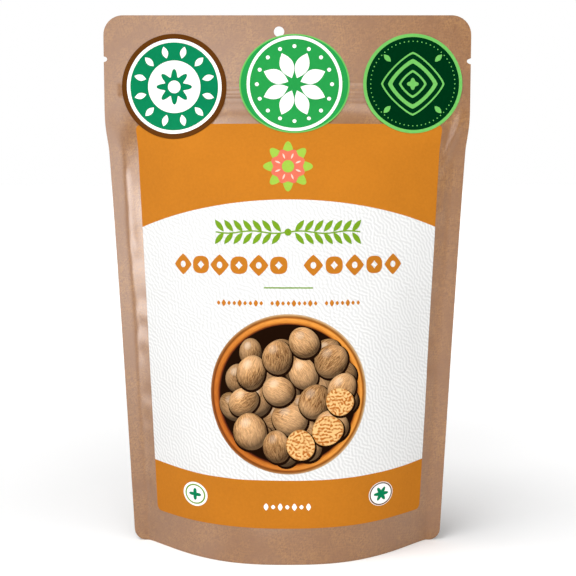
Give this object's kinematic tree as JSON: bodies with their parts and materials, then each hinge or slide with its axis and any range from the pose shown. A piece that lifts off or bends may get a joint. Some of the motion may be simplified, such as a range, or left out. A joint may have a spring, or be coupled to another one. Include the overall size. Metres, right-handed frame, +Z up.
{
  "type": "stand-up pouch",
  "caption": "Filled kraft-paper stand-up pouch with a flat header, pressed zipper, hang hole, tear notches and gusset base, a front label and round stickers.",
  "frame": {"origin": "on the floor under the middle of the standing pouch's base", "axes": "+Z up from the base to the header, -Y out of the labelled front, +X to the right seen from the front"},
  "size_m": [0.16, 0.0672, 0.234],
  "materials": {
    "kraft_paper": "matt laminated kraft paper",
    "label_print": "satin coated paper, printed white and orange",
    "sticker_brown": "satin printed sticker, brown, white and green",
    "sticker_green": "satin printed sticker, green and white",
    "sticker_dark": "satin printed sticker, dark green with a light rim"
  },
  "bodies": {
    "root": {"pouch": "kraft_paper", "label": "label_print", "sticker_left": "sticker_brown", "sticker_middle": "sticker_green", "sticker_right": "sticker_dark"}
  },
  "joints": []
}
